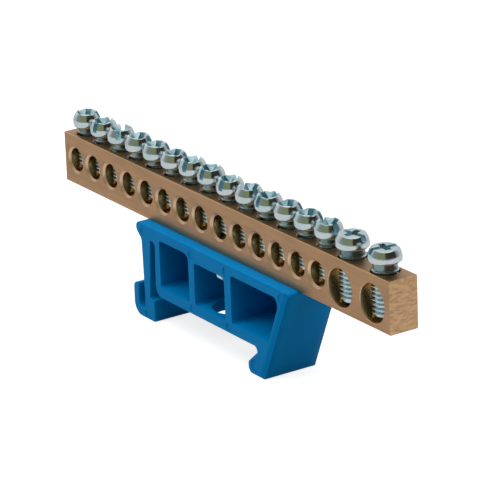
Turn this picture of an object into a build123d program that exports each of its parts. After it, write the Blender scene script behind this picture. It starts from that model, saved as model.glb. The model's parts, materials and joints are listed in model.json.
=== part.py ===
from build123d import *

import os
from math import atan2, cos, hypot, sin, tan

# Terminal strip on a rail bracket
# Millimetres. X runs along the bar, Y into the depth, Z up from the feet.

# Busbar
bar_length = 105.2
bar_depth = 5.9
bar_height = 9.75
bar_edge_radius = 0.12

# How far the bar and its screws lie off the middle of the bracket's depth
bar_y = -0.3

# Wire holes, from the left end, with the wall of the bar left under each
small_hole_diameter = 4.55
small_hole_chamfer = 0.42
small_hole_floor = 2.6
first_hole_from_end = 3.67
small_pitch = 6.15
large_hole_diameter = 7.1
large_hole_chamfer = 0.12
large_hole_floor = 0.85
small_to_large_pitch = 7.03
large_pitch = 9.45
last_hole_from_end = 5.1

# The vertical screw holes end just above each wire hole's lowest line
screw_hole_end = 0.25

# Small clamp screws, and how far each stands proud when it is fully in
small_closed_gap = 0.85
small_thread_diameter = 3.9
small_neck_diameter = 3.55
small_neck_length = 1.0
small_head_diameter = 5.25
small_head_height = 2.9
small_top_share = 0.78
small_slot_width = 0.95
small_slot_depth = 1.8
small_recess_share = 0.7

# Large clamp screws
large_closed_gap = 1.3
large_thread_diameter = 4.9
large_neck_diameter = 4.5
large_neck_length = 1.5
large_head_diameter = 6.1
large_head_height = 2.5
large_top_share = 0.86
large_slot_width = 1.15
large_slot_depth = 1.3
large_recess_share = 0.66

# Height of each head's underside above the bar, and each slot's angle
small_head_gaps = [1.35, 1.2, 1.35, 1.35, 1.3, 1.25, 1.5, 1.55, 1.1, 1.2, 1.3, 1.4, 1.4, 1.45]
small_slot_angles = [45, 106, 136, 28, 37, 30, 110, 101, 103, 178, 93, 37, 35, 178]
large_head_gaps = [1.55, 1.7]
large_slot_angles = [12, 79]

# Room around threads, and the countersink where a screw enters
thread_clearance = 0.05
screw_hole_chamfer = 0.25
tip_chamfer = 0.35

# Rail bracket
bracket_depth = 11.0
bracket_height = 18.75
bracket_top_right = 25.55
foot_wall = 2.2
lip_reach = 2.1
underside_height = 5.6
floor_thickness = 2.05
roof_thickness = 1.8
screw_roof_thickness = 2.85
back_wall = 1.3
side_wall = 1.6
end_wall_bottom = 1.85
end_wall_top = 2.05
lip_height = 1.65
outline_edge_radius = 0.15

# Rail channel
rail_width = 35.0
rail_play = 0.5
rail_gap = 1.3
notch_x = 14.9
hook_reach = 1.5
nose_reach = 2.95

# Spring leg and its release foot
leg_thickness = 1.7
leg_root_thickness = 3.05
leg_slot_width = 1.55
release_gap = 2.15
release_thickness = 1.7
release_height = 6.35
foot_thickness = 1.75

# Ribs beside the middle cell, which is centred on the bracket screw
middle_cell_width = 9.95
left_rib = 1.85
right_rib = 2.05

# Round marks that the mould's ejector pins leave
ejector_mark_depth = 0.12
ejector_mark_radius = 0.8
ejector_mark_from_top = 1.7
ejector_mark_from_underside = 1.05
nose_mark_radius = 1.3
foot_mark_radius = 0.5

# Bracket screw from below
fixing_x = 0.0
fixing_thread_diameter = 3.9
fixing_engagement = 2.3
fixing_hole_depth = 3.0
fixing_head_diameter = 6.6
fixing_head_height = 2.5
fixing_slot_width = 1.0
fixing_slot_depth = 1.1
fixing_clearance_diameter = 4.4
access_hole_diameter = 8.0

# Derived positions, with as many small holes as the bar has room for
bar_bottom = bracket_height
bar_top = bar_bottom + bar_height
bar_left = -bar_length / 2
small_row = bar_length - first_hole_from_end - small_to_large_pitch - large_pitch - last_hole_from_end
small_hole_count = int(small_row / small_pitch) + 1
small_xs = [bar_left + first_hole_from_end + n * small_pitch for n in range(small_hole_count)]
large_xs = [small_xs[-1] + small_to_large_pitch, small_xs[-1] + small_to_large_pitch + large_pitch]
small_axis_z = bar_bottom + small_hole_floor + small_hole_diameter / 2
large_axis_z = bar_bottom + large_hole_floor + large_hole_diameter / 2
small_screw_hole_depth = bar_height - small_hole_floor - screw_hole_end
large_screw_hole_depth = bar_height - large_hole_floor - screw_hole_end
small_shank_length = small_screw_hole_depth + small_closed_gap
large_shank_length = large_screw_hole_depth + large_closed_gap


def rounded_outline(corners):
    """Draw a closed outline whose corners are (across, up, radius)."""
    count = len(corners)
    spans = []
    for n, (x, z, radius) in enumerate(corners):
        before = corners[n - 1]
        after = corners[(n + 1) % count]
        a_in = atan2(before[1] - z, before[0] - x)
        a_out = atan2(after[1] - z, after[0] - x)
        half = abs((a_out - a_in + 3 * 3.141592653589793) % (2 * 3.141592653589793) - 3.141592653589793) / 2
        reach = radius / tan(half)
        start = (x + reach * cos(a_in), z + reach * sin(a_in))
        end = (x + reach * cos(a_out), z + reach * sin(a_out))
        mid_x, mid_z = cos(a_in) + cos(a_out), sin(a_in) + sin(a_out)
        length = hypot(mid_x, mid_z)
        out = radius / sin(half) - radius
        spans.append((start, (x + out * mid_x / length, z + out * mid_z / length), end))
    for n in range(count):
        start, middle, end = spans[n]
        ThreePointArc(start, middle, end)
        Line(end, spans[(n + 1) % count][0])


# Busbar
with BuildPart() as busbar:
    with Locations((0, 0, (bar_bottom + bar_top) / 2)):
        Box(bar_length, bar_depth, bar_height)
    fillet(busbar.edges().filter_by(Axis.X), bar_edge_radius)
    for hole_x in small_xs:
        with Locations(Location((hole_x, 0, small_axis_z), (90, 0, 0))):
            Cylinder(small_hole_diameter / 2, bar_depth + 2, mode=Mode.SUBTRACT)
        for side in (-1, 1):
            with Locations(Location((hole_x, side * (bar_depth / 2 - small_hole_chamfer / 2), small_axis_z), (90 * side, 0, 0))):
                Cone(
                    small_hole_diameter / 2 + small_hole_chamfer,
                    small_hole_diameter / 2,
                    small_hole_chamfer,
                    mode=Mode.SUBTRACT,
                )
    for hole_x in large_xs:
        with Locations(Location((hole_x, 0, large_axis_z), (90, 0, 0))):
            Cylinder(large_hole_diameter / 2, bar_depth + 2, mode=Mode.SUBTRACT)
        for side in (-1, 1):
            with Locations(Location((hole_x, side * (bar_depth / 2 - large_hole_chamfer / 2), large_axis_z), (90 * side, 0, 0))):
                Cone(
                    large_hole_diameter / 2 + large_hole_chamfer,
                    large_hole_diameter / 2,
                    large_hole_chamfer,
                    mode=Mode.SUBTRACT,
                )
    for xs, depth, diameter in (
        (small_xs, small_screw_hole_depth, small_thread_diameter + 2 * thread_clearance),
        (large_xs, large_screw_hole_depth, large_thread_diameter + 2 * thread_clearance),
    ):
        for hole_x in xs:
            with Locations((hole_x, 0, bar_top - depth / 2)):
                Cylinder(diameter / 2, depth, mode=Mode.SUBTRACT)
            with Locations((hole_x, 0, bar_top - screw_hole_chamfer / 2)):
                Cone(diameter / 2, diameter / 2 + screw_hole_chamfer, screw_hole_chamfer, mode=Mode.SUBTRACT)
    with Locations((fixing_x, 0, bar_bottom + fixing_hole_depth / 2)):
        Cylinder(fixing_thread_diameter / 2 + thread_clearance, fixing_hole_depth, mode=Mode.SUBTRACT)

# Rail bracket
leg_inner_x = notch_x - rail_width - rail_play
leg_outer_x = leg_inner_x - leg_thickness
bracket_left = leg_outer_x - lip_reach
foot_right = notch_x + foot_wall
hook_top = underside_height - rail_gap
release_inner_x = leg_outer_x - release_gap
release_left = release_inner_x - release_thickness
slot_top = bracket_height - 2.75
leg_root_outer_x = bracket_left + lip_height
leg_root_inner_x = leg_root_outer_x + leg_root_thickness
body_left_top = leg_root_inner_x + leg_slot_width
body_left = body_left_top - 0.35
nose_x = notch_x - nose_reach
outline = [
    (bracket_left, bracket_height, 1.0),
    (bracket_left, bracket_height - 1.65, 0.8),
    (leg_root_outer_x, bracket_height - 3.2, 0.9),
    (leg_outer_x, foot_thickness, 1.0),
    (release_inner_x, foot_thickness, 1.0),
    (release_inner_x, release_height, 0.35),
    (release_left, release_height, 1.1),
    (release_left, 0, 2.4),
    (leg_inner_x + hook_reach, 0, 0.35),
    (leg_inner_x + hook_reach, hook_top, 0.25),
    (leg_inner_x, hook_top, 0.3),
    (leg_root_inner_x, slot_top + 0.1, 0.4),
    (body_left_top, slot_top - 0.1, 0.95),
    (body_left, underside_height, 2.1),
    (notch_x, underside_height, 0.9),
    (notch_x, hook_top, 0.15),
    (notch_x - 0.3, hook_top, 0.15),
    (nose_x, hook_top - 2.23, 0.8),
    (nose_x, 0, 1.15),
    (foot_right, 0, 0.4),
    (bracket_top_right, bracket_height, 0.5),
]
cell_floor = underside_height + floor_thickness
cell_roof = bracket_height - roof_thickness
cell_1_left = body_left_top + side_wall
cell_2_left = fixing_x - middle_cell_width / 2
cell_2_right = fixing_x + middle_cell_width / 2
cell_1_right = cell_2_left - left_rib
cell_3_left = cell_2_right + right_rib
end_slope = (bracket_top_right - foot_right) / bracket_height
cell_3_right_bottom = foot_right + end_slope * cell_floor - end_wall_bottom
cell_3_right_top = foot_right + end_slope * cell_roof - end_wall_top
cells = [
    [
        (cell_1_left, cell_roof, 0.7),
        (cell_1_right, cell_roof, 1.4),
        (cell_1_right, cell_floor, 0.4),
        (cell_1_left, cell_floor, 0.6),
    ],
    [
        (cell_2_left, bracket_height - screw_roof_thickness, 0.7),
        (cell_2_right, bracket_height - screw_roof_thickness, 1.2),
        (cell_2_right, cell_floor, 0.4),
        (cell_2_left, cell_floor, 0.5),
    ],
    [
        (cell_3_left, cell_roof, 0.5),
        (cell_3_right_top, cell_roof, 1.5),
        (cell_3_right_bottom, cell_floor, 0.4),
        (cell_3_left, cell_floor, 0.5),
    ],
]
mark_top = bracket_height - ejector_mark_from_top
mark_bottom = underside_height + ejector_mark_from_underside
ejector_marks = [
    (leg_root_outer_x + 0.7, mark_top, ejector_mark_radius),
    (cell_1_right + left_rib / 2, mark_top, ejector_mark_radius),
    (cell_1_right + left_rib / 2, mark_bottom, ejector_mark_radius),
    (cell_2_right + 0.7, mark_top, ejector_mark_radius * 1.3),
    (cell_2_right + right_rib / 2, mark_bottom, ejector_mark_radius),
    (bracket_top_right - 2.4, mark_top, ejector_mark_radius * 1.3),
    (notch_x - 0.6, foot_thickness, nose_mark_radius),
    (leg_outer_x + 0.3, foot_thickness / 2 + 0.1, foot_mark_radius),
]
with BuildPart() as din_bracket:
    with BuildSketch(Plane.XZ):
        with BuildLine():
            rounded_outline(outline)
        make_face()
    extrude(amount=bracket_depth / 2, both=True)
    fillet(din_bracket.faces().sort_by(Axis.Y)[0].outer_wire().edges(), outline_edge_radius)
    fillet(din_bracket.faces().sort_by(Axis.Y)[-1].outer_wire().edges(), outline_edge_radius)
    with BuildSketch(Plane.XZ.offset(bracket_depth / 2)):
        for cell in cells:
            with BuildLine():
                rounded_outline(cell)
            make_face()
    extrude(amount=-(bracket_depth - back_wall), mode=Mode.SUBTRACT)
    for mark_x, mark_z, mark_radius in ejector_marks:
        with Locations(Location((mark_x, -(bracket_depth - ejector_mark_depth) / 2, mark_z), (90, 0, 0))):
            Cylinder(mark_radius, ejector_mark_depth, mode=Mode.SUBTRACT)
    with Locations((fixing_x, bar_y, bracket_height - screw_roof_thickness / 2)):
        Cylinder(fixing_clearance_diameter / 2, screw_roof_thickness, mode=Mode.SUBTRACT)
    with Locations((fixing_x, bar_y, underside_height + floor_thickness / 2)):
        Cylinder(access_hole_diameter / 2, floor_thickness, mode=Mode.SUBTRACT)

# Screw that holds the bar to the bracket, driven from below
fixing_seat = bracket_height - screw_roof_thickness
fixing_tip = bar_bottom + fixing_engagement
with BuildPart() as bracket_screw:
    with BuildSketch(Plane.XZ):
        with BuildLine():
            Polyline(
                (0, fixing_seat - fixing_head_height),
                (fixing_head_diameter / 2 - 0.5, fixing_seat - fixing_head_height),
                (fixing_head_diameter / 2, fixing_seat - fixing_head_height + 0.5),
                (fixing_head_diameter / 2, fixing_seat),
                (fixing_thread_diameter / 2, fixing_seat),
                (fixing_thread_diameter / 2, fixing_tip - tip_chamfer),
                (fixing_thread_diameter / 2 - tip_chamfer, fixing_tip),
                (0, fixing_tip),
                close=True,
            )
        make_face()
    revolve(axis=Axis.Z)
    with Locations((0, 0, fixing_seat - fixing_head_height + fixing_slot_depth / 2)):
        Box(fixing_head_diameter + 1, fixing_slot_width, fixing_slot_depth, mode=Mode.SUBTRACT)


def clamp_screw(head_diameter, head_height, neck_diameter, neck_length, thread_diameter, shank_length, top_share):
    """Draw half of a clamp screw's outline, with the head's underside at zero."""
    head_r = head_diameter / 2
    neck_r = neck_diameter / 2
    thread_r = thread_diameter / 2
    top_r = head_r * top_share
    Line((0, -shank_length), (thread_r - tip_chamfer, -shank_length))
    Line((thread_r - tip_chamfer, -shank_length), (thread_r, -shank_length + tip_chamfer))
    Line((thread_r, -shank_length + tip_chamfer), (thread_r, -neck_length))
    Line((thread_r, -neck_length), (neck_r, -neck_length + thread_r - neck_r))
    Line((neck_r, -neck_length + thread_r - neck_r), (neck_r, 0))
    Line((neck_r, 0), (neck_r + 0.2, 0))
    low = head_height * 0.3
    ThreePointArc(
        (neck_r + 0.2, 0),
        (neck_r + 0.2 + 0.72 * (head_r - neck_r - 0.2), low * 0.34),
        (head_r, low),
    )
    high = head_height * 0.45
    Line((head_r, low), (head_r, high))
    ThreePointArc(
        (head_r, high),
        (top_r + 0.72 * (head_r - top_r), high + 0.56 * (head_height - 0.08 - high)),
        (top_r, head_height - 0.08),
    )
    Line((top_r, head_height - 0.08), (top_r - 0.1, head_height))
    Line((top_r - 0.1, head_height), (0, head_height))
    Line((0, head_height), (0, -shank_length))


# Small clamp screws
with BuildPart() as small_screw:
    with BuildSketch(Plane.XZ):
        with BuildLine():
            clamp_screw(
                small_head_diameter,
                small_head_height,
                small_neck_diameter,
                small_neck_length,
                small_thread_diameter,
                small_shank_length,
                small_top_share,
            )
        make_face()
    revolve(axis=Axis.Z)
    with Locations((0, 0, small_head_height - small_slot_depth / 2)):
        Box(small_head_diameter + 1, small_slot_width, small_slot_depth, mode=Mode.SUBTRACT)
        Box(small_slot_width, small_head_diameter * small_recess_share, small_slot_depth, mode=Mode.SUBTRACT)
    with Locations((0, 0, small_head_height - small_slot_depth * 0.2)):
        Cone(small_head_diameter * 0.22, small_head_diameter * 0.34, small_slot_depth * 0.4, mode=Mode.SUBTRACT)

# Large clamp screws
with BuildPart() as large_screw:
    with BuildSketch(Plane.XZ):
        with BuildLine():
            clamp_screw(
                large_head_diameter,
                large_head_height,
                large_neck_diameter,
                large_neck_length,
                large_thread_diameter,
                large_shank_length,
                large_top_share,
            )
        make_face()
    revolve(axis=Axis.Z)
    with Locations((0, 0, large_head_height - large_slot_depth / 2)):
        Box(large_head_diameter + 1, large_slot_width, large_slot_depth, mode=Mode.SUBTRACT)
        Box(large_slot_width, large_head_diameter * large_recess_share, large_slot_depth, mode=Mode.SUBTRACT)
    with Locations((0, 0, large_head_height - large_slot_depth * 0.2)):
        Cone(large_head_diameter * 0.18, large_head_diameter * 0.26, large_slot_depth * 0.4, mode=Mode.SUBTRACT)

# Save every piece in its place
os.makedirs("parts", exist_ok=True)
pieces = {
    "busbar": Location((0, bar_y, 0)) * busbar.part,
    "din_bracket": din_bracket.part,
    "bracket_screw": Location((fixing_x, bar_y, 0)) * bracket_screw.part,
}
for name, screw, xs, gaps, angles in (
    ("clamp_screw", small_screw, small_xs, small_head_gaps, small_slot_angles),
    ("main_clamp_screw", large_screw, large_xs, large_head_gaps, large_slot_angles),
):
    for n, screw_x in enumerate(xs):
        gap = gaps[n % len(gaps)]
        angle = angles[n % len(angles)]
        pieces[f"{name}_{n + 1:02d}"] = Location((screw_x, bar_y, bar_top + gap), (0, 0, angle)) * screw.part
for name, piece in pieces.items():
    piece.label = name
    export_step(piece, f"parts/{name}.step")
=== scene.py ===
"""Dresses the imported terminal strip: drawn brass bar, zinc-plated clamp screws, blue rail clip.

Lengths in the sub-assemblies are millimetres, as on a drawing, and become metres where a mesh is made.
"""

import json
import logging
import math
from dataclasses import dataclass
from enum import Enum
from typing import Any, Callable

import bpy
from mathutils import Matrix, Vector

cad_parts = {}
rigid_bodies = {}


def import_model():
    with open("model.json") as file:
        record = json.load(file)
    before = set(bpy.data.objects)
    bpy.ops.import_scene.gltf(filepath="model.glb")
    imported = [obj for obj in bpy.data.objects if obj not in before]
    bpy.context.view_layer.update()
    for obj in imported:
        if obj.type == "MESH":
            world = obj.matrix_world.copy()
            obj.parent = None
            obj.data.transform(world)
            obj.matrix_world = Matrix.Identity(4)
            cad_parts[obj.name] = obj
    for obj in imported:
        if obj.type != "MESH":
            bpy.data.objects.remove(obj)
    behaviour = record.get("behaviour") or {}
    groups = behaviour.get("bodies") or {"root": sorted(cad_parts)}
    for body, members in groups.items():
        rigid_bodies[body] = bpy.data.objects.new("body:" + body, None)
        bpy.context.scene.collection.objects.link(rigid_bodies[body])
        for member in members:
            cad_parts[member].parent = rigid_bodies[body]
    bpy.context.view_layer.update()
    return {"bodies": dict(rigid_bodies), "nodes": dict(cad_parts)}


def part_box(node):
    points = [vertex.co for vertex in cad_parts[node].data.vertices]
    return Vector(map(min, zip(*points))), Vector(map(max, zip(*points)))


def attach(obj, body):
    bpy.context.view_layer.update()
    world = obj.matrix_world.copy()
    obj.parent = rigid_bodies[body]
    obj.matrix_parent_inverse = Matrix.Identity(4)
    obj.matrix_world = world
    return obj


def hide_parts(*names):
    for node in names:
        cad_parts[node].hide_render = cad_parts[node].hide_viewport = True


LOG = logging.getLogger("terminal_strip")
MM = 0.001

Colour = tuple[float, float, float]
Waves = tuple[float, float, float]
Ring = tuple[float, float]
Stain = tuple[float, float, float]


class Flow:
    """One value in a node tree, on which Python operators add Math nodes."""

    def __init__(self, recipe: "Recipe", socket: bpy.types.NodeSocket) -> None:
        """Keep the socket and the tree that it belongs to."""
        self.recipe = recipe
        self.socket = socket

    def math(self, operation: str, *others: Any, clamp: bool = False) -> "Flow":
        """Add a Math node.

        Args:
            operation: the node's operation.
            others: the operands after this value.
            clamp: True to keep the result between 0 and 1.

        Returns:
            The node's result.
        """
        inputs = dict(enumerate((self, *others)))
        return self.recipe.node("ShaderNodeMath", {"operation": operation, "use_clamp": clamp}, inputs)

    def __add__(self, other: Any) -> "Flow":
        """Add another value."""
        return self.math("ADD", other)

    __radd__ = __add__

    def __mul__(self, other: Any) -> "Flow":
        """Multiply by another value."""
        return self.math("MULTIPLY", other)

    __rmul__ = __mul__

    def __sub__(self, other: Any) -> "Flow":
        """Take another value away."""
        return self.math("SUBTRACT", other)

    def __rsub__(self, other: Any) -> "Flow":
        """Take this value away from a number."""
        return self * -1.0 + other

    def __abs__(self) -> "Flow":
        """Drop the sign."""
        return self.math("ABSOLUTE", 0.0)

    def step(self, start: float, end: float) -> "Flow":
        """Ramp smoothly from 0 at start to 1 at end, or the other way round where end is lower.

        Args:
            start: value at which the mask is 0.
            end: value at which the mask is 1.

        Returns:
            The mask, from 0 to 1.
        """
        low, high, at_low, at_high = (start, end, 0.0, 1.0) if end > start else (end, start, 1.0, 0.0)
        return self.recipe.node(
            "ShaderNodeMapRange",
            {"interpolation_type": "SMOOTHSTEP"},
            {"Value": self, "From Min": low, "From Max": high, "To Min": at_low, "To Max": at_high},
        )

    def stain(self, edges: Stain) -> "Flow":
        """Ramp as step does, but only up to a share.

        Args:
            edges: the value at which the mask is 0, the value at which it is full, and its full share.

        Returns:
            The mask, from 0 to the share.
        """
        start, end, share = edges
        return self.step(start, end) * share


class Recipe:
    """A node tree that is built one node at a time."""

    def __init__(self, tree: bpy.types.NodeTree) -> None:
        """Start from an empty tree."""
        self.tree = tree
        tree.nodes.clear()

    def node(
        self, kind: str, settings: dict | None = None, inputs: dict | None = None, out: int | str = 0
    ) -> Flow:
        """Add one node.

        Args:
            kind: the node's type.
            settings: its properties.
            inputs: values or flows by socket name or number.
            out: the output to return.

        Returns:
            The chosen output.
        """
        made = self.tree.nodes.new(kind)
        for name, value in (settings or {}).items():
            setattr(made, name, value)
        for name, value in (inputs or {}).items():
            if isinstance(value, Flow):
                self.tree.links.new(value.socket, made.inputs[name])
            else:
                made.inputs[name].default_value = value
        return Flow(self, made.outputs[out])

    def mix(self, factor: Any, first: Any, second: Any) -> Flow:
        """Mix two colours.

        Args:
            factor: 0 for the first colour, 1 for the second.
            first: a colour or a flow.
            second: a colour or a flow.

        Returns:
            The mixed colour.
        """
        first, second = (rgba(c) if isinstance(c, tuple) else c for c in (first, second))
        return self.node("ShaderNodeMix", {"data_type": "RGBA"}, {0: factor, 6: first, 7: second}, 2)

    def place(self) -> Flow:
        """The point on the object, in metres."""
        return self.node("ShaderNodeTexCoord", out="Object")

    def split(self, vector: Flow) -> tuple[Flow, Flow, Flow]:
        """The three numbers of a vector."""
        first = self.node("ShaderNodeSeparateXYZ", inputs={0: vector})
        return tuple(Flow(self, socket) for socket in first.socket.node.outputs)

    def noise(self, waves: Waves, detail: float = 3.0, roughness: float = 0.5) -> Flow:
        """Noise on the object's own coordinates.

        Args:
            waves: how many waves a millimetre has along X, Y and Z.
            detail: how many finer layers are added.
            roughness: how strong they are.

        Returns:
            The noise, mostly between 0.3 and 0.7.
        """
        stretched = self.node(
            "ShaderNodeMapping", inputs={"Vector": self.place(), "Scale": tuple(w / MM for w in waves)}
        )
        return self.node(
            "ShaderNodeTexNoise",
            inputs={"Vector": stretched, "Scale": 1.0, "Detail": detail, "Roughness": roughness},
        )

    def light_path(self, kind: str) -> Flow:
        """1 for that kind of ray, such as Camera, Glossy or Transmission, and 0 for the others."""
        return self.node("ShaderNodeLightPath", out=f"Is {kind} Ray")

    def bump(self, height: Flow, depth: float, strength: float = 1.0) -> Flow:
        """A Bump node.

        Args:
            height: the relief.
            depth: millimetres that a height of 1 stands for.
            strength: share of the relief that is shaded.

        Returns:
            The normal.
        """
        return self.node(
            "ShaderNodeBump", inputs={"Height": height, "Distance": depth * MM, "Strength": strength}
        )

    def surface(self, inputs: dict) -> None:
        """Finish a material with a Principled shader."""
        shader = self.node("ShaderNodeBsdfPrincipled", inputs=inputs)
        self.node_out("ShaderNodeOutputMaterial", shader)

    def node_out(self, kind: str, shader: Flow) -> None:
        """Lead the shader to the tree's output."""
        made = self.tree.nodes.new(kind)
        self.tree.links.new(shader.socket, made.inputs["Surface"])


def rgba(colour: Colour) -> tuple[float, float, float, float]:
    """The colour with full alpha."""
    return (*colour, 1.0)


def new_recipe(name: str) -> tuple[bpy.types.Material, Recipe]:
    """An empty node material and its recipe."""
    material = bpy.data.materials.new(name)
    material.use_nodes = True
    return material, Recipe(material.node_tree)


class Plating(Enum):
    """Where the plating of a screw lies, in the order of its material slots."""

    HEAD = 0
    THREAD = 1
    # the neck's copy of the zinc is darkened as painted shade
    NECK = 2
    # the recess's copy of the zinc is lightened as painted light; its teal is the passivation
    RECESS = 3


@dataclass(frozen=True)
class ZincPlate:
    """Bright zinc with the faint blue-green of its passivation and a fine grain."""

    name: str = "bright_zinc"
    bright: Colour = (0.59, 0.655, 0.68)
    teal: Colour = (0.51, 0.63, 0.65)
    smooth: float = 0.09
    dull: float = 0.17
    wear_and_edge_highlight: Colour = (0.42, 0.45, 0.44)
    teal_edges: tuple[float, float] = (0.42, 0.64)
    worn_grain: Stain = (0.62, 0.8, 0.25)
    stain_waves: Waves = (0.45, 0.45, 0.45)
    grain_waves: Waves = (2.2, 2.2, 7.0)
    grain_roughness: float = 0.06
    relief_depth: float = 0.012

    def material(self) -> bpy.types.Material:
        """Build the finish."""
        material, recipe = new_recipe(self.name)
        stains = recipe.noise(self.stain_waves, detail=4.0)
        grain = recipe.noise(self.grain_waves, detail=5.0, roughness=0.6)
        shade = stains.step(*self.teal_edges)
        colour = recipe.mix(shade, self.bright, self.teal)
        colour = recipe.mix(grain.stain(self.worn_grain), colour, self.wear_and_edge_highlight)
        rough = shade * (self.dull - self.smooth) + self.smooth + grain * self.grain_roughness
        recipe.surface(
            {
                "Base Color": colour,
                "Metallic": 1.0,
                "Roughness": rough,
                "Normal": recipe.bump(grain + stains * 2.0, self.relief_depth, 0.5),
            }
        )
        return material


@dataclass(frozen=True)
class DrawnBrass:
    """Aged drawn bar: fine lines along its length, sawn ends, bright yellow metal where it was drilled, a
    painted highlight along its long edges and painted shade near the tops of the screw holes.
    """

    low: Vector
    high: Vector
    chamfer: float
    name: str = "drawn_brass"
    aged: Colour = (0.47, 0.280, 0.148)
    brown: Colour = (0.33, 0.196, 0.101)
    sawn: Colour = (0.70, 0.445, 0.245)
    drilled: Colour = (0.62, 0.42, 0.20)
    ring: Colour = (0.76, 0.50, 0.33)
    shaded: Colour = (0.12, 0.07, 0.03)
    # painted highlight: brighter brass for the line of light along the four long edges, partly also edge wear
    wear_and_edge_highlight: Colour = (0.80, 0.47, 0.21)
    skin: float = 0.06 * MM
    edge_highlight_width: float = 0.13 * MM
    shade_depth: tuple[float, float] = (1.2 * MM, MM)
    line_waves: Waves = (0.03, 6.0, 6.0)
    cloud_waves: Waves = (0.10, 0.30, 0.30)
    saw_waves: Waves = (1.0, 0.60, 2.1)
    pit_waves: Waves = (2.6, 3.2, 3.2)
    brown_clouds: Stain = (0.30, 0.72, 0.55)
    brown_lines: Stain = (0.46, 0.70, 0.38)
    bright_lines: Stain = (0.48, 0.26, 0.30)
    saw_marks: Stain = (0.40, 0.62, 0.85)
    brown_pits: Stain = (0.72, 0.80, 0.5)
    base_roughness: float = 0.36
    relief_depth: float = 0.03

    def material(self) -> bpy.types.Material:
        """Build the finish."""
        material, recipe = new_recipe(self.name)
        x, y, z = recipe.split(recipe.place())
        skin, highlight_span = self.skin, self.edge_highlight_width
        middle = (self.low + self.high) / 2
        half = (self.high - self.low) / 2
        off_x, off_y, off_z = abs(x - middle.x), abs(y - middle.y), abs(z - middle.z)
        in_x = off_x.step(half.x - skin, half.x - 2 * skin)
        in_y = off_y.step(half.y - skin / 4, half.y - skin)
        in_z = off_z.step(half.z - skin, half.z - 2 * skin)
        inside = in_x * in_y * in_z
        at_end = 1.0 - in_x
        on_chamfer = inside * off_y.step(half.y - self.chamfer - skin, half.y - self.chamfer)
        # painted shade: the walls of the screw holes take the dark shaded colour within about a millimetre of
        # the top
        hole_top_shade = inside * z.step(self.high.z - self.shade_depth[0], self.high.z - self.shade_depth[1])
        near_y = off_y.step(half.y - highlight_span, half.y - highlight_span * 0.6)
        near_z = off_z.step(half.z - highlight_span, half.z - highlight_span * 0.6)

        lines = recipe.noise(self.line_waves, detail=4.0, roughness=0.65)
        clouds = recipe.noise(self.cloud_waves, detail=3.0)
        saw = recipe.noise(self.saw_waves, detail=6.0, roughness=0.70)
        pits = recipe.noise(self.pit_waves, detail=2.0)

        end_face = recipe.mix(saw.stain(self.saw_marks), self.sawn, self.aged)
        colour = recipe.mix(clouds.stain(self.brown_clouds), self.aged, self.brown)
        colour = recipe.mix(lines.stain(self.brown_lines), colour, self.brown)
        colour = recipe.mix(lines.stain(self.bright_lines), colour, self.sawn)
        colour = recipe.mix(at_end, colour, end_face)
        colour = recipe.mix(inside, colour, self.drilled)
        # painted shade near the tops of the screw holes
        colour = recipe.mix(hole_top_shade, colour, self.shaded)
        colour = recipe.mix(on_chamfer * 0.9, colour, self.ring)
        colour = recipe.mix(pits.stain(self.brown_pits), colour, self.brown)
        # painted highlight along the four long edges, partly also edge wear
        colour = recipe.mix(near_y * near_z * (lines * 0.6 + 0.6), colour, self.wear_and_edge_highlight)

        rough = lines * 0.10 + self.base_roughness
        rough = rough + at_end * 0.06 - inside * 0.16 + on_chamfer * 0.16
        relief = lines * 0.35 + at_end * (saw * 3.0) + pits * 0.15
        recipe.surface(
            {
                "Base Color": colour,
                "Metallic": 1.0,
                "Roughness": rough,
                "Normal": recipe.bump(relief, self.relief_depth, 0.6),
            }
        )
        return material


@dataclass(frozen=True)
class MouldedBlue:
    """Satin blue moulding with the faint mottling of a textured tool and a soft edge at its leaning side."""

    high: Vector
    lean: float = 8.45 / 18.75
    round_edge: float = 1.4
    edge_drop: float = 0.25
    name: str = "moulded_blue"
    body: Colour = (0.000, 0.176, 0.430)
    deep: Colour = (0.000, 0.158, 0.390)
    sheen: Colour = (0.0, 0.6, 1.0)
    ior: float = 1.12
    mottle_waves: Waves = (0.16, 0.16, 0.16)
    grain_waves: Waves = (3.0, 3.0, 3.0)
    deep_mottle: Stain = (0.35, 0.70, 0.5)
    base_roughness: float = 0.34
    texture_depth: float = 0.007

    def material(self) -> bpy.types.Material:
        """Build the finish."""
        material, recipe = new_recipe(self.name)
        mottle = recipe.noise(self.mottle_waves, detail=3.0)
        grain = recipe.noise(self.grain_waves, detail=2.0)
        relief = (grain + mottle * 3.0) * self.texture_depth + self.rounding(recipe)
        recipe.surface(
            {
                "Base Color": recipe.mix(mottle.stain(self.deep_mottle), self.body, self.deep),
                "Roughness": grain * 0.10 + self.base_roughness,
                "IOR": self.ior,
                "Specular Tint": rgba(self.sheen),
                "Normal": recipe.bump(relief, 1.0),
            }
        )
        return material

    def rounding(self, recipe: Recipe) -> Flow:
        """The relief that softens the edges between the leaning side and the front and back.

        Args:
            recipe: the material's recipe.

        Returns:
            The relief in millimetres, 0 away from those edges.
        """
        x, y, z = recipe.split(recipe.place())
        edge = self.round_edge * MM
        upright = math.hypot(1.0, self.lean)
        beyond = (x - z * self.lean - (self.high.x - self.high.z * self.lean)) * (1.0 / upright)
        to_side = (beyond * (1.0 / edge)).math("ADD", 1.0, clamp=True)
        to_front = (abs(y) * (1.0 / edge)).math("SUBTRACT", self.high.y / edge - 1.0, clamp=True)
        corner = to_side * to_front
        return corner * corner * (-self.round_edge * self.edge_drop)


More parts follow.
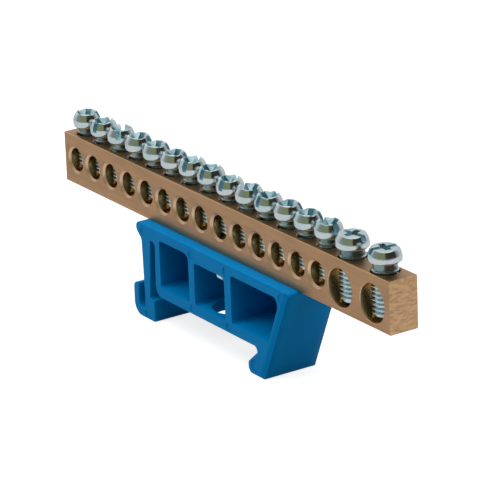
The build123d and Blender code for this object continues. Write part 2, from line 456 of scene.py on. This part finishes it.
class Bench:
    """Modelling by Blender's operators, always from a clean selection."""

    MERGE = 0.002 * MM
    DEGENERATE = 0.001 * MM

    @staticmethod
    def clear() -> None:
        """Leave edit mode and select nothing."""
        if bpy.context.object and bpy.context.object.mode != "OBJECT":
            bpy.ops.object.mode_set(mode="OBJECT")
        bpy.ops.object.select_all(action="DESELECT")

    @classmethod
    def pick(cls, piece: bpy.types.Object) -> None:
        """Make a piece the only selected and active one."""
        cls.clear()
        piece.select_set(True)
        bpy.context.view_layer.objects.active = piece

    @classmethod
    def turned(cls, rings: list[Ring], sides: int, name: str) -> bpy.types.Object:
        """Turn a solid: a disc is extruded from ring to ring.

        Args:
            rings: (radius, height) in millimetres, from the bottom up.
            sides: corners of each ring.
            name: the new object's name.

        Returns:
            The closed solid.
        """
        cls.clear()
        radius, height = rings[0]
        bpy.ops.mesh.primitive_circle_add(
            vertices=sides, radius=radius * MM, fill_type="NGON", location=(0, 0, height * MM)
        )
        piece = bpy.context.object
        piece.name = name
        bpy.ops.object.transform_apply(location=True, rotation=True, scale=True)
        bpy.ops.object.mode_set(mode="EDIT")
        bpy.ops.mesh.select_all(action="SELECT")
        for wider, higher in rings[1:]:
            rise = (0, 0, (higher - height) * MM)
            bpy.ops.mesh.extrude_region_move(TRANSFORM_OT_translate={"value": rise})
            grow = wider / radius
            bpy.ops.transform.resize(value=(grow, grow, 1), center_override=(0, 0, higher * MM))
            radius, height = wider, higher
        bpy.ops.mesh.select_all(action="SELECT")
        bpy.ops.mesh.normals_make_consistent(inside=False)
        bpy.ops.object.mode_set(mode="OBJECT")
        return piece

    @classmethod
    def block(cls, size: tuple[float, float, float], top: float, taper: float = 1.0) -> bpy.types.Object:
        """Make a cutter block whose end walls may lean in towards the bottom.

        Args:
            size: length, width and depth in millimetres.
            top: height of its top face.
            taper: share of the length that is left at the bottom.

        Returns:
            The block, centred on the axis.
        """
        cls.clear()
        length, width, depth = size
        bpy.ops.mesh.primitive_cube_add(size=1, location=(0, 0, (top - depth / 2) * MM))
        piece = bpy.context.object
        piece.scale = (length * MM, width * MM, depth * MM)
        bpy.ops.object.transform_apply(location=True, rotation=True, scale=True)
        floor = (top - depth) * MM
        cls.select_faces(piece, lambda face: face.normal.z < -0.9)
        bpy.ops.transform.resize(value=(taper, 1, 1), center_override=(0, 0, floor))
        bpy.ops.object.mode_set(mode="OBJECT")
        return piece

    @classmethod
    def select_faces(cls, piece: bpy.types.Object, wanted: Callable[[bpy.types.MeshPolygon], bool]) -> None:
        """Enter face select mode with only the wanted faces selected.

        Args:
            piece: the piece to edit.
            wanted: tells whether a face is wanted.
        """
        cls.pick(piece)
        bpy.ops.object.mode_set(mode="EDIT")
        bpy.ops.mesh.select_mode(type="FACE")
        bpy.ops.mesh.select_all(action="DESELECT")
        bpy.ops.object.mode_set(mode="OBJECT")
        for face in piece.data.polygons:
            face.select = wanted(face)
        bpy.ops.object.mode_set(mode="EDIT")

    @classmethod
    def combine(cls, piece: bpy.types.Object, tool: bpy.types.Object, operation: str) -> None:
        """Cut a tool from a piece or weld it on, and remove the tool.

        Args:
            piece: the piece that stays.
            tool: the piece that is used up.
            operation: DIFFERENCE or UNION.
        """
        cls.pick(piece)
        modifier = piece.modifiers.new("combine", "BOOLEAN")
        modifier.operation = operation
        modifier.solver = "EXACT"
        modifier.object = tool
        bpy.ops.object.modifier_apply(modifier=modifier.name)
        bpy.data.objects.remove(tool)

    @classmethod
    def soften(cls, piece: bpy.types.Object, width: float, segments: int, angle: float) -> None:
        """Round the sharp edges.

        Args:
            piece: the piece to round.
            width: width of the rounding in millimetres.
            segments: how many faces it has.
            angle: degrees from which an edge counts as sharp.
        """
        cls.pick(piece)
        modifier = piece.modifiers.new("soften", "BEVEL")
        modifier.width = width * MM
        modifier.segments = segments
        modifier.limit_method = "ANGLE"
        modifier.angle_limit = math.radians(angle)
        modifier.use_clamp_overlap = True
        bpy.ops.object.modifier_apply(modifier=modifier.name)

    @classmethod
    def tidy(cls, piece: bpy.types.Object, smooth_angle: float) -> None:
        """Merge doubles, point the faces outwards and shade smooth below that angle, in degrees."""
        cls.pick(piece)
        bpy.ops.object.mode_set(mode="EDIT")
        bpy.ops.mesh.select_all(action="SELECT")
        bpy.ops.mesh.remove_doubles(threshold=cls.MERGE)
        bpy.ops.mesh.dissolve_degenerate(threshold=cls.DEGENERATE)
        bpy.ops.mesh.normals_make_consistent(inside=False)
        bpy.ops.object.mode_set(mode="OBJECT")
        bpy.ops.object.shade_smooth_by_angle(angle=math.radians(smooth_angle))


@dataclass
class Thread:
    """A right-hand metric thread that is wound on a shank."""

    crest: float
    root: float
    pitch: float
    steps: int = 40
    flank_share: float = 0.44
    crest_share: float = 0.16
    sunk: float = 0.12

    def wound(self, start: float, end: float) -> bpy.types.Object:
        """Wind the ridge from one height to another.

        Args:
            start: lower end in millimetres.
            end: upper end in millimetres.

        Returns:
            The closed ridge, whose inner side lies inside the shank.
        """
        Bench.clear()
        flank = self.pitch * self.flank_share
        inner = self.root - self.sunk
        middle = (self.crest + inner) / 2 * MM
        level = (start + flank) * MM
        bpy.ops.mesh.primitive_plane_add(size=1, location=(0, 0, 0))
        ridge = bpy.context.object
        ridge.name = "ridge"
        ridge.rotation_euler = (math.pi / 2, 0, 0)
        ridge.scale = ((self.crest - inner) * MM, 2 * flank * MM, 1)
        ridge.location = (middle, 0, level)
        bpy.ops.object.transform_apply(location=True, rotation=True, scale=True)
        bpy.ops.object.mode_set(mode="EDIT")
        bpy.ops.mesh.select_mode(type="VERT")
        bpy.ops.mesh.select_all(action="DESELECT")
        bpy.ops.object.mode_set(mode="OBJECT")
        for vertex in ridge.data.vertices:
            vertex.select = vertex.co.x > middle
        bpy.ops.object.mode_set(mode="EDIT")
        bpy.ops.transform.resize(value=(1, 1, self.crest_share), center_override=(0, 0, level))
        bpy.ops.mesh.select_all(action="SELECT")
        bpy.ops.mesh.delete(type="ONLY_FACE")
        bpy.ops.object.mode_set(mode="OBJECT")
        self.wind(ridge, (end - start - 2 * flank) / self.pitch)
        bpy.ops.object.mode_set(mode="EDIT")
        bpy.ops.mesh.select_mode(type="EDGE")
        bpy.ops.mesh.select_all(action="DESELECT")
        bpy.ops.mesh.select_non_manifold()
        bpy.ops.mesh.fill_holes(sides=4)
        bpy.ops.mesh.select_all(action="SELECT")
        bpy.ops.mesh.normals_make_consistent(inside=False)
        bpy.ops.object.mode_set(mode="OBJECT")
        return ridge

    def wind(self, ridge: bpy.types.Object, turns: float) -> None:
        """Wind the ridge's outline about the axis.

        Args:
            ridge: the outline, a loop of four edges.
            turns: how many turns it makes.
        """
        winding = ridge.modifiers.new("winding", "SCREW")
        winding.axis = "Z"
        winding.angle = turns * 2 * math.pi
        winding.screw_offset = turns * self.pitch * MM
        winding.steps = winding.render_steps = int(self.steps * turns)
        winding.iterations = 1
        Bench.pick(ridge)
        bpy.ops.object.modifier_apply(modifier=winding.name)


@dataclass
class DrivenScrew:
    """A screw with a barrel head, a slot with a shorter cross arm, a thin neck and a rolled thread.

    The shares are parts of the head's radius, but those of the belly are parts of its height. The collar's
    rises are counted from the neck's foot.
    """

    name: str
    head_height: float
    neck: float
    neck_length: float
    thread: Thread
    slot_width: float
    slot_depth: float
    recess_share: float
    top_share: float
    collar: float = 0.08
    mouth_share: float = 0.90
    dip: float = 0.0
    shoulder: float = 1.5
    belly_low: float = 0.28
    belly_high: float = 0.48
    collar_rises: tuple[float, ...] = (-0.35, -0.24, -0.14, 0.16, 0.28)
    sides: int = 64
    under_steps: int = 6
    shoulder_steps: int = 9

    def head_rings(self, head_r: float) -> list[Ring]:
        """The head's outline: an under-round, a short belly and a sloping shoulder.

        Args:
            head_r: the head's radius.

        Returns:
            Its rings from the underside up.
        """
        flat_share, rim_drop, rim_width, inset = 0.35, 0.07, 0.10, 0.3
        tall, top_r = self.head_height, head_r * self.top_share
        low, high = tall * self.belly_low, tall * self.belly_high
        flat_r = self.neck / 2 + flat_share * (head_r - self.neck / 2)
        rings = [(self.neck / 2 - inset, 0.0), (flat_r, 0.0)]
        for n in range(1, self.under_steps + 1):
            turn = n / self.under_steps * math.pi / 2
            rings.append((flat_r + (head_r - flat_r) * math.sin(turn), low * (1 - math.cos(turn))))
        rings.append((head_r, high))
        rise = tall - rim_drop - high
        for n in range(1, self.shoulder_steps + 1):
            share = n / self.shoulder_steps
            rings.append((head_r - (head_r - top_r) * share**self.shoulder, high + rise * share))
        return [*rings, (top_r - rim_width, tall), (top_r - inset, tall)]

    def head(self, head_r: float) -> bpy.types.Object:
        """Turn the head, cut its recess and round what the cuts leave sharp.

        Args:
            head_r: the head's radius.

        Returns:
            The head, its underside at 0.
        """
        head = Bench.turned(self.head_rings(head_r), self.sides, self.name)
        self.cut_slot(head, head_r)
        if self.recess_share:
            self.cut_mouth(head, head_r)
        if self.dip:
            self.cut_dips(head)
        Bench.tidy(head, smooth_angle=30)
        Bench.soften(head, width=0.05, segments=2, angle=38)
        return head

    def cut_slot(self, head: bpy.types.Object, head_r: float) -> None:
        """Cut the slot right across and the shorter cross arm.

        Args:
            head: the head.
            head_r: its radius.
        """
        over, past, arm_ease, arm_taper = 0.6, 1, 1.1, 0.90
        depth, wide = self.slot_depth + over, self.slot_width
        top = self.head_height + over
        Bench.combine(head, Bench.block((2 * head_r + past, wide, depth), top), "DIFFERENCE")
        if self.recess_share:
            arm = Bench.block((2 * head_r * self.recess_share, wide * arm_ease, depth), top, arm_taper)
            arm.data.transform(Matrix.Rotation(math.pi / 2, 4, "Z"))
            Bench.combine(head, arm, "DIFFERENCE")

    def cut_mouth(self, head: bpy.types.Object, head_r: float) -> None:
        """Cut the sloping mouth of the recess.

        Args:
            head: the head.
            head_r: its radius.
        """
        sides, slope_share, foot_share, rim_share, over_share = 20, 0.62, 0.45, 1.12, 0.22
        mouth, slope = head_r * self.top_share * self.mouth_share, self.slot_depth * slope_share
        bottom = (mouth * foot_share, self.head_height - slope)
        top = (mouth * rim_share, self.head_height + slope * over_share)
        Bench.combine(head, Bench.turned([bottom, top], sides, "mouth"), "DIFFERENCE")

    def cut_dips(self, head: bpy.types.Object) -> None:
        """Hollow the rim between the four arms, so that it stands up like a crown beside them."""
        radius, half_length, sides = 0.95, 3.5, 28
        for turn in (45, 135):
            roller = Bench.turned([(radius, -half_length), (radius, half_length)], sides, "roller")
            lift = Matrix.Translation((0, 0, (self.head_height + radius - self.dip) * MM))
            lay = Matrix.Rotation(math.radians(turn), 4, "Z") @ Matrix.Rotation(math.pi / 2, 4, "Y")
            roller.data.transform(lift @ lay)
            Bench.combine(head, roller, "DIFFERENCE")

    def shank(self, tip: float) -> bpy.types.Object:
        """Turn the core, the collar and the neck and weld the thread on.

        Args:
            tip: height of the tip, below the head's underside at 0.

        Returns:
            The shank, which reaches up into the head.
        """
        tip_cone, tip_rise, bend, flare, into_head = 0.35, 0.3, 0.06, 0.05, 0.12
        tip_gap, foot_gap = 0.12, 0.10
        root, neck_r, foot = self.thread.root, self.neck / 2, -self.neck_length
        collar = neck_r + self.collar
        run_out, under, low, high, above = (foot + rise for rise in self.collar_rises)
        rings = [
            (root - tip_cone, tip),
            (root, tip + tip_rise),
            (root, run_out),
            (collar - bend, under),
            (collar, low),
            (collar, high),
            (neck_r, above),
            (neck_r, -bend),
            (neck_r + flare, into_head),
        ]
        core = Bench.turned(rings, self.sides, "core")
        ridge = self.thread.wound(tip + tip_gap, foot - foot_gap)
        Bench.combine(core, ridge, "UNION")
        return core

    def model(
        self, head_diameter: float, length: float, platings: list[bpy.types.Material]
    ) -> bpy.types.Object:
        """Model the screw once, standing on the axis with its head's underside at 0.

        Args:
            head_diameter: the head's width, from the frame.
            length: the whole length, from the frame.
            platings: one material for each member of Plating.

        Returns:
            The master, which is copied to each place.
        """
        piece = self.head(head_diameter / 2)
        Bench.combine(piece, self.shank(self.head_height - length), "UNION")
        Bench.tidy(piece, smooth_angle=40)
        piece.data.materials.clear()
        for plating in platings:
            piece.data.materials.append(plating)
        for face in piece.data.polygons:
            face.material_index = self.plating(face.center / MM, head_diameter / 2).value
        return piece

    def plating(self, at: Vector, head_r: float) -> Plating:
        """Tell which plating a face has.

        Args:
            at: the face's centre in millimetres.
            head_r: the head's radius.

        Returns:
            The plating.
        """
        near, wall, below_floor, beside_slot, mouth_floor = 0.02, 0.07, 0.06, 0.03, 0.6
        radius = math.hypot(at.x, at.y)
        if at.z < near and radius < self.neck / 2 + near:
            return Plating.NECK if at.z > -self.neck_length else Plating.THREAD
        if at.z < near:
            return Plating.HEAD if at.z > -near else Plating.THREAD
        slot_floor = self.head_height - self.slot_depth - below_floor
        in_slot = abs(at.y) < self.slot_width / 2 + beside_slot and at.z > slot_floor
        in_mouth = radius < head_r * self.top_share * self.mouth_share and at.z > mouth_floor
        inside = radius < self.outer(at.z, head_r) - wall
        return Plating.RECESS if inside and (in_slot or (self.recess_share and in_mouth)) else Plating.HEAD

    def outer(self, height: float, head_r: float) -> float:
        """The head's radius at a height, from its outline.

        Args:
            height: millimetres above the head's underside.
            head_r: the head's greatest radius.

        Returns:
            The radius there.
        """
        rings = self.head_rings(head_r)
        for (low_r, low), (high_r, high) in zip(rings[1:], rings[2:]):
            if low <= height <= high and high > low:
                return low_r + (high_r - low_r) * (height - low) / (high - low)
        return head_r


def set_in_place(
    master: bpy.types.Object, node: str, name: str, turn: float, flip: bool = False
) -> bpy.types.Object:
    """Copy a screw to where its CAD node stands.

    Args:
        master: the modelled screw.
        node: the node that it replaces.
        name: the piece's name.
        turn: the slot's direction in degrees, counted from X.
        flip: True for a head that points down.

    Returns:
        The placed piece, its place in its mesh.
    """
    low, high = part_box(node)
    top = max(vertex.co.z for vertex in master.data.vertices)
    centre = (low + high) / 2
    piece = master.copy()
    piece.data = master.data.copy()
    piece.name = piece.data.name = name
    bpy.context.scene.collection.objects.link(piece)
    move = Matrix.Rotation(math.radians(turn), 4, "Z")
    if flip:
        move = Matrix.Translation((centre.x, centre.y, low.z + top)) @ move @ Matrix.Rotation(math.pi, 4, "X")
    else:
        move = Matrix.Translation((centre.x, centre.y, high.z - top)) @ move
    piece.data.transform(move)
    return piece


@dataclass
class ScrewRow:
    """The clamp screws and the screw that holds the bar to the clip."""

    small_turns: tuple[float, ...] = (45, 106, 136, 28, 37, 30, 110, 101, 103, 178, 93, 37, 35, 178)
    large_turns: tuple[float, ...] = (12, 79)
    head_room: float = 0.01
    slot: str = "zinc"

    @staticmethod
    def platings() -> list[bpy.types.Material]:
        """The materials of the four parts of a screw, in their order."""
        finishes = {
            Plating.HEAD: ZincPlate(),
            Plating.THREAD: ZincPlate("thread_zinc", (0.54, 0.65, 0.67), (0.40, 0.52, 0.54), 0.22, 0.34),
            # painted shade: the neck's zinc is much darker than the head's, standing in for the dark bar top
            # and room that it mirrors
            Plating.NECK: ZincPlate("neck_zinc_painted_shade", (0.22, 0.31, 0.31), (0.13, 0.22, 0.23), 0.18, 0.30),
            # painted light: the recess's zinc is lighter than the head's, standing in for light inside the
            # slot and mouth; its teal is the passivation
            Plating.RECESS: ZincPlate("recess_zinc_painted_light", (0.54, 0.76, 0.82), (0.32, 0.55, 0.63), 0.34, 0.50),
        }
        return [finishes[place].material() for place in Plating]

    @staticmethod
    def kinds() -> tuple[DrivenScrew, DrivenScrew, DrivenScrew]:
        """The small clamp screw, the large one and the one in the clip."""
        small = DrivenScrew(
            name="small_master",
            head_height=2.9,
            neck=3.34,
            neck_length=1.0,
            thread=Thread(crest=1.95, root=1.50, pitch=0.70),
            slot_width=0.95,
            slot_depth=1.8,
            recess_share=0.69,
            top_share=0.78,
            collar=0.12,
            dip=0.24,
        )
        large = DrivenScrew(
            name="large_master",
            head_height=2.5,
            neck=4.35,
            neck_length=1.5,
            thread=Thread(crest=2.45, root=1.92, pitch=0.80),
            slot_width=1.05,
            slot_depth=0.95,
            recess_share=0.56,
            top_share=0.82,
            collar=0.28,
            mouth_share=0.40,
            shoulder=2.2,
            belly_low=0.20,
            belly_high=0.22,
        )
        holder = DrivenScrew(
            name="holder_master",
            head_height=2.5,
            neck=3.6,
            neck_length=0.6,
            thread=Thread(crest=1.95, root=1.50, pitch=0.70),
            slot_width=1.0,
            slot_depth=1.1,
            recess_share=0.0,
            top_share=0.85,
            belly_low=0.55,
            belly_high=0.70,
        )
        return small, large, holder

    def build(self, bodies: dict[str, Any]) -> None:
        """Model the three kinds of screw and put a copy on every node.

        Args:
            bodies: the frame's bodies by name.
        """
        platings = self.platings()
        small, large, holder = self.kinds()
        rows = (
            (small, "clamp_screw", self.small_turns),
            (large, "main_clamp_screw", self.large_turns),
            (holder, "bracket_screw", (0,)),
        )
        for kind, stem, turns in rows:
            numbered = stem != "bracket_screw"
            low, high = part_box(f"{stem}_01" if numbered else stem)
            master = kind.model((high.x - low.x) / MM - self.head_room, (high.z - low.z) / MM, platings)
            for n, turn in enumerate(turns, start=1):
                node = f"{stem}_{n:02d}" if numbered else stem
                piece = set_in_place(master, node, f"threaded_{node}", turn, flip=not numbered)
                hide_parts(node)
                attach(piece, node if node in bodies else "strip")
                LOG.info("%s: %d faces", piece.name, len(piece.data.polygons))
            bpy.data.objects.remove(master)


@dataclass
class Bar:
    """The drilled bar, whose solid comes with the frame."""

    node: str = "busbar"
    hole_chamfer: float = 0.42

    def dress(self, nodes: dict[str, bpy.types.Object]) -> None:
        """Give the bar its brass."""
        low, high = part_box(self.node)
        dress_node(nodes[self.node], DrawnBrass(low, high, self.hole_chamfer * MM).material())
        LOG.info("%s dressed", self.node)


@dataclass
class RailClip:
    """The moulded clip, whose solid comes with the frame."""

    node: str = "din_bracket"

    def dress(self, nodes: dict[str, bpy.types.Object]) -> None:
        """Give the clip its plastic."""
        dress_node(nodes[self.node], MouldedBlue(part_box(self.node)[1]).material())
        LOG.info("%s dressed", self.node)


def dress_node(piece: bpy.types.Object, material: bpy.types.Material) -> None:
    """Put a finish on a CAD node."""
    piece.data.materials.clear()
    piece.data.materials.append(material)


@dataclass(frozen=True)
class Lamp:
    """A soft square lamp that faces the strip and isn't mirrored in it.

    The bearing and the height are degrees, the bearing counted from X, the size metres, the power watts.
    """

    name: str
    bearing: float
    height: float
    size: float
    power: float
    distance: float = 0.9

    def hang(self) -> None:
        """Put the lamp in the scene."""
        data = bpy.data.lights.new(self.name, "AREA")
        data.size = self.size
        data.energy = self.power
        lamp = bpy.data.objects.new(self.name, data)
        bearing, height = math.radians(self.bearing), math.radians(self.height)
        flat = self.distance * math.cos(height)
        lamp.location = (flat * math.cos(bearing), flat * math.sin(bearing), self.distance * math.sin(height))
        lamp.rotation_euler = lamp.location.to_track_quat("Z", "Y").to_euler()
        lamp.visible_glossy = False
        bpy.context.scene.collection.objects.link(lamp)


@dataclass(frozen=True)
class Room:
    """The room round the strip: plain to the camera, with dark screens for the plating to mirror.

    Bearings are degrees, counted from X. An edge goes from a mask of 0 to a mask of 1.
    """

    daylight: float = 0.22
    front_wall: Colour = (0.30, 0.31, 0.31)
    back_wall: Colour = (0.75, 0.76, 0.76)
    ceiling: Colour = (1.10, 1.10, 1.10)
    olive_screen: Colour = (0.28, 0.30, 0.165)
    black_screen: Colour = (0.042, 0.034, 0.026)
    screens_bearing: float = -25.0
    black_bearing: float = 56.0
    back_bearing: float = 147.0
    screens_edge: tuple[float, float] = (0.29, 0.38)
    screens_foot: tuple[float, float] = (-0.01, 0.03)
    screens_top: tuple[float, float] = (0.80, 0.66)
    black_edge: tuple[float, float] = (-0.04, 0.04)
    back_edge: tuple[float, float] = (-0.1, 0.5)
    ceiling_edge: tuple[float, float] = (0.70, 0.85)

    def build(self) -> None:
        """Make it the scene's world."""
        world = bpy.data.worlds.new("room")
        bpy.context.scene.world = world
        world.use_nodes = True
        recipe = Recipe(world.node_tree)
        mirrored = recipe.light_path("Glossy")
        direct = recipe.light_path("Camera") + recipe.light_path("Transmission")
        white = rgba((1.0, 1.0, 1.0))
        seen = self.background(recipe, self.walls(recipe), 1.0)
        felt = self.background(recipe, white, self.daylight)
        plain = self.background(recipe, white, 1.0)
        mixed = recipe.node("ShaderNodeMixShader", inputs={0: mirrored, 1: felt, 2: seen})
        mixed = recipe.node("ShaderNodeMixShader", inputs={0: direct, 1: mixed, 2: plain})
        recipe.node_out("ShaderNodeOutputWorld", mixed)

    @staticmethod
    def background(recipe: Recipe, colour: Any, strength: float) -> Flow:
        """A Background shader of that colour and strength."""
        return recipe.node("ShaderNodeBackground", inputs={"Color": colour, "Strength": strength})

    def walls(self, recipe: Recipe) -> Flow:
        """The colour of the room by direction.

        Args:
            recipe: the world's recipe.

        Returns:
            The colour.
        """
        way = recipe.node("ShaderNodeTexCoord", out="Generated")
        _, _, up = recipe.split(way)
        flat = recipe.node("ShaderNodeVectorMath", {"operation": "MULTIPLY"}, {0: way, 1: (1, 1, 0)})
        flat = recipe.node("ShaderNodeVectorMath", {"operation": "NORMALIZE"}, {0: flat})

        def towards(degrees: float) -> Flow:
            """How far a direction points to that bearing, counted from X."""
            aim = (math.cos(math.radians(degrees)), math.sin(math.radians(degrees)), 0)
            return recipe.node(
                "ShaderNodeVectorMath", {"operation": "DOT_PRODUCT"}, {0: flat, 1: aim}, "Value"
            )

        upright = up.step(*self.screens_foot) * up.step(*self.screens_top)
        on_screen = towards(self.screens_bearing).step(*self.screens_edge) * upright
        on_black = towards(self.black_bearing).step(*self.black_edge)
        screen = recipe.mix(on_black, self.olive_screen, self.black_screen)
        to_back = towards(self.back_bearing).step(*self.back_edge)
        room = recipe.mix(to_back, self.front_wall, self.back_wall)
        room = recipe.mix(up.step(*self.ceiling_edge), room, self.ceiling)
        return recipe.mix(on_screen, room, screen)


@dataclass(frozen=True)
class Floor:
    """The pale floor, white to the camera, on which the strip throws its soft shadow."""

    size: float = 6.0
    white: float = 0.40
    seen_glow: float = 0.75
    mirrored_glow: float = 0.24

    def lay(self) -> None:
        """Lay the floor at height 0."""
        Bench.clear()
        bpy.ops.mesh.primitive_plane_add(size=self.size, location=(0, 0, 0))
        floor = bpy.context.object
        floor.name = "floor"
        material, recipe = new_recipe("pale_floor")
        mirrored = recipe.light_path("Glossy") + recipe.light_path("Transmission")
        strength = recipe.light_path("Camera") * self.seen_glow + mirrored * self.mirrored_glow
        glow = recipe.node("ShaderNodeEmission", inputs={"Strength": strength})
        matt = recipe.node("ShaderNodeBsdfDiffuse", inputs={"Color": rgba((self.white,) * 3)})
        both = recipe.node("ShaderNodeAddShader", inputs={0: glow, 1: matt})
        recipe.node_out("ShaderNodeOutputMaterial", both)
        floor.data.materials.append(material)


@dataclass
class Studio:
    """Everything that is not the strip, and the camera, which stands where the photograph was taken from."""

    camera_at: tuple[float, float, float] = (511.90, -332.40, 242.17)
    camera_right: tuple[float, float, float] = (0.55746, 0.82943, -0.03575)
    camera_down: tuple[float, float, float] = (0.26543, -0.21887, -0.93896)
    focal_pixels: float = 3592.0
    picture_pixels: float = 485.0
    sensor: float = 36.0
    far_clip: float = 50.0
    lamps: tuple[Lamp, ...] = (
        Lamp("overhead", -60, 78, 0.7, 5.0),
        Lamp("front_left", -108, 44, 0.6, 3.6),
        Lamp("right", 15, 52, 0.6, 5.2),
    )

    def build(self) -> None:
        """Set up the floor, the room, the lamps and the camera."""
        Floor().lay()
        Room().build()
        for lamp in self.lamps:
            lamp.hang()
        self.set_camera()
        bpy.context.scene.view_settings.view_transform = "Standard"

    def set_camera(self) -> None:
        """Set the camera up."""
        right = Vector(self.camera_right).normalized()
        down = Vector(self.camera_down)
        down = (down - right * down.dot(right)).normalized()
        back = right.cross(-down)
        data = bpy.data.cameras.new("camera")
        data.sensor_width = self.sensor
        data.lens = self.focal_pixels / self.picture_pixels * self.sensor
        data.clip_end = self.far_clip
        camera = bpy.data.objects.new("camera", data)
        turn = Matrix((right, -down, back)).transposed().to_4x4()
        camera.matrix_world = Matrix.Translation(Vector(self.camera_at) * MM) @ turn
        bpy.context.scene.collection.objects.link(camera)
        bpy.context.scene.camera = camera


def main() -> None:
    """Load the frame, dress it and light it."""
    logging.basicConfig(level=logging.INFO, format="%(name)s: %(message)s")
    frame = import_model()
    Bar().dress(frame["nodes"])
    RailClip().dress(frame["nodes"])
    ScrewRow().build(frame["bodies"])
    Studio().build()
    Bench.clear()


if __name__ == "__main__":
    main()
